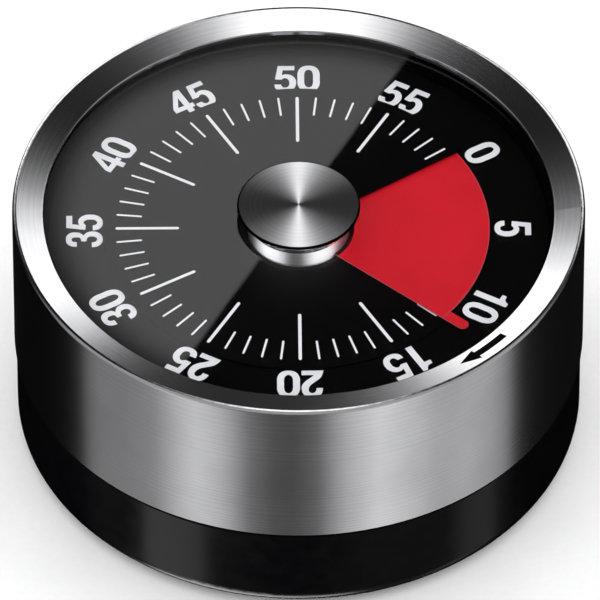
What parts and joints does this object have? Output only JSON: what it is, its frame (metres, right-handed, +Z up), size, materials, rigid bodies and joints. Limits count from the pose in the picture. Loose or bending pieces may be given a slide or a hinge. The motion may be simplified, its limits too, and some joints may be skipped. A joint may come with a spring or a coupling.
{
  "type": "kitchen timer",
  "caption": "Round sixty-minute wind-up kitchen timer: turning steel ring with window and knob, red time disc on a black dial, magnetic base.",
  "frame": {"origin": "centre of the rubber foot's resting face, on the turning axis", "axes": "+Z up along the turning axis, the 5-minute mark of the dial along +X and the 20-minute mark towards -Y"},
  "size_m": [0.08, 0.08, 0.0402],
  "materials": {
    "gloss_black_abs": "polished injection-moulded ABS",
    "matte_black_abs": "fine-textured moulded ABS",
    "carrier_abs": "moulded ABS",
    "dial_black": "satin printed sheet",
    "foot_rubber": "moulded rubber",
    "magnet_nickel": "nickel plate",
    "zinc_steel": "bright zinc plate",
    "spring_steel": "blued spring steel",
    "plate_steel": "rolled sheet steel",
    "arbor_steel": "turned steel",
    "bell_chrome": "chrome-plated pressed steel",
    "stainless_steel": "brushed side, polished bezel",
    "knob_steel": "spun stainless steel",
    "knob_neck_steel": "turned stainless steel",
    "brass": "stamped brass",
    "clear_acrylic": "polished clear acrylic",
    "washer_acetal": "natural acetal",
    "red_film": "printed plastic film"
  },
  "bodies": {
    "base": {"base_cup": "gloss_black_abs", "back_cover": "matte_black_abs", "foot_ring": "foot_rubber", "magnets": "magnet_nickel", "cover_screws": "zinc_steel", "movement_screws": "zinc_steel", "retaining_ring": "spring_steel", "dial_plate": "dial_black", "lower_plate": "plate_steel", "upper_plate": "plate_steel", "pillars": "plate_steel", "mainspring": "spring_steel", "spring_anchor": "plate_steel", "hammer_spring": "spring_steel", "spring_pin": "plate_steel", "bell": "bell_chrome", "bell_post": "plate_steel", "bell_screw": "zinc_steel"},
    "ring": {"ring_sleeve": "stainless_steel", "ring_carrier": "carrier_abs", "lens": "clear_acrylic", "slip_washer": "washer_acetal", "knob_cap": "knob_steel", "knob_core": "knob_neck_steel", "knob_screw": "zinc_steel", "main_arbor": "arbor_steel", "main_wheel": "brass", "clutch_spring": "spring_steel", "clutch_clip": "spring_steel", "alarm_cam": "brass"},
    "disc": {"time_disc": "red_film"},
    "second": {"second_arbor": "arbor_steel", "second_wheel": "brass"},
    "third": {"third_arbor": "arbor_steel", "third_wheel": "brass"},
    "escape": {"escape_arbor": "arbor_steel", "escape_wheel": "brass"},
    "pallet": {"pallet_arbor": "arbor_steel", "pallet_lever": "brass", "balance": "brass"},
    "hammer": {"hammer_arbor": "arbor_steel", "hammer_lever": "plate_steel", "trip_lever": "plate_steel"}
  },
  "joints": [
    {"name": "ring_turn", "type": "hinge", "parent": "base", "child": "ring", "pos_m": [0, 0, 0.02], "axis": [0, 0, -1], "range_deg": [-69.64, 290.36]},
    {"name": "disc_climb", "type": "slide", "parent": "ring", "child": "disc", "axis": [0, 0, 1], "range_m": [-0.00016, 0.00065]},
    {"name": "second_turn", "type": "hinge", "parent": "base", "child": "second", "pos_m": [-0.018, 0, 0.02], "axis": [0, 0, 1], "range_deg": [-557.15, 2322.87]},
    {"name": "third_turn", "type": "hinge", "parent": "base", "child": "third", "pos_m": [-0.014, 0.01131, 0.02], "axis": [0, 0, -1], "range_deg": [-3900.1, 16260.1]},
    {"name": "escape_turn", "type": "hinge", "parent": "base", "child": "escape", "pos_m": [-0.00531, 0.0172, 0.02], "axis": [0, 0, 1], "range_deg": [-23400.5, 97560.5]},
    {"name": "pallet_rock", "type": "hinge", "parent": "base", "child": "pallet", "pos_m": [0.00227, 0.01786, 0.02], "axis": [0, 0, 1], "range_deg": [-5, 5]},
    {"name": "hammer_strike", "type": "hinge", "parent": "base", "child": "hammer", "pos_m": [0.01, -0.01732, 0.02], "axis": [0, 0, 1], "range_deg": [-5, 2.2], "stiffness_Nm_per_rad": 0.002}
  ],
  "couplings": [
    {"joint": "disc_climb", "follows": "ring_turn", "m_per_rad": 0.00012732},
    {"joint": "second_turn", "follows": "ring_turn", "ratio": 8},
    {"joint": "third_turn", "follows": "ring_turn", "ratio": 56},
    {"joint": "escape_turn", "follows": "ring_turn", "ratio": 336}
  ]
}
